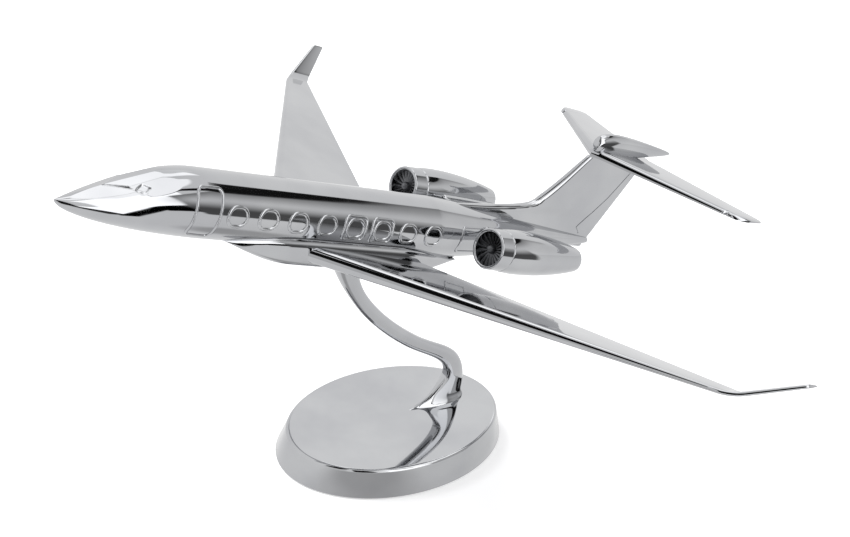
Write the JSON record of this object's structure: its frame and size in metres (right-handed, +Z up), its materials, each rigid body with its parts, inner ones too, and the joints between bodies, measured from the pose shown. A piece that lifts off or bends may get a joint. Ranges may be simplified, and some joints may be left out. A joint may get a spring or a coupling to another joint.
{
  "type": "model airplane",
  "caption": "Polished chrome desk model of a twin-engine business jet that lifts off a curved arm on an oval base.",
  "frame": {"origin": "centre of the base's underside, on the surface that the model stands on", "axes": "+Z up, nose towards -Y, the port wing towards +X"},
  "size_m": [0.2092, 0.2043, 0.105],
  "materials": {
    "polished_chrome": "mirror-polished chrome plating",
    "zinc_plated_steel": "zinc-plated steel",
    "dark_nickel": "black nickel",
    "brass": "turned brass",
    "black_rubber": "moulded rubber sheet, matt"
  },
  "bodies": {
    "stand": {"stand_arm": "polished_chrome", "arm_peg": "zinc_plated_steel", "arm_screws": "zinc_plated_steel", "arm_washers": "zinc_plated_steel", "base": "polished_chrome", "base_pad": "black_rubber"},
    "aircraft": {"fuselage": "polished_chrome", "belly_fairing": "polished_chrome", "left_wing": "polished_chrome", "right_wing": "polished_chrome", "tail_fin": "polished_chrome", "tailplane": "polished_chrome", "tail_bullet": "polished_chrome", "left_pylon": "polished_chrome", "right_pylon": "polished_chrome", "left_nacelle": "polished_chrome", "right_nacelle": "polished_chrome", "left_intake_ring": "polished_chrome", "right_intake_ring": "polished_chrome", "wing_screws": "zinc_plated_steel", "tail_screw": "zinc_plated_steel", "pylon_dowels": "zinc_plated_steel", "left_fan": "dark_nickel", "right_fan": "dark_nickel", "socket_bush": "brass"}
  },
  "joints": [
    {"name": "lift_off", "type": "slide", "parent": "stand", "child": "aircraft", "axis": [0, 0.3029, 0.953], "range_m": [0, 0.02]}
  ]
}
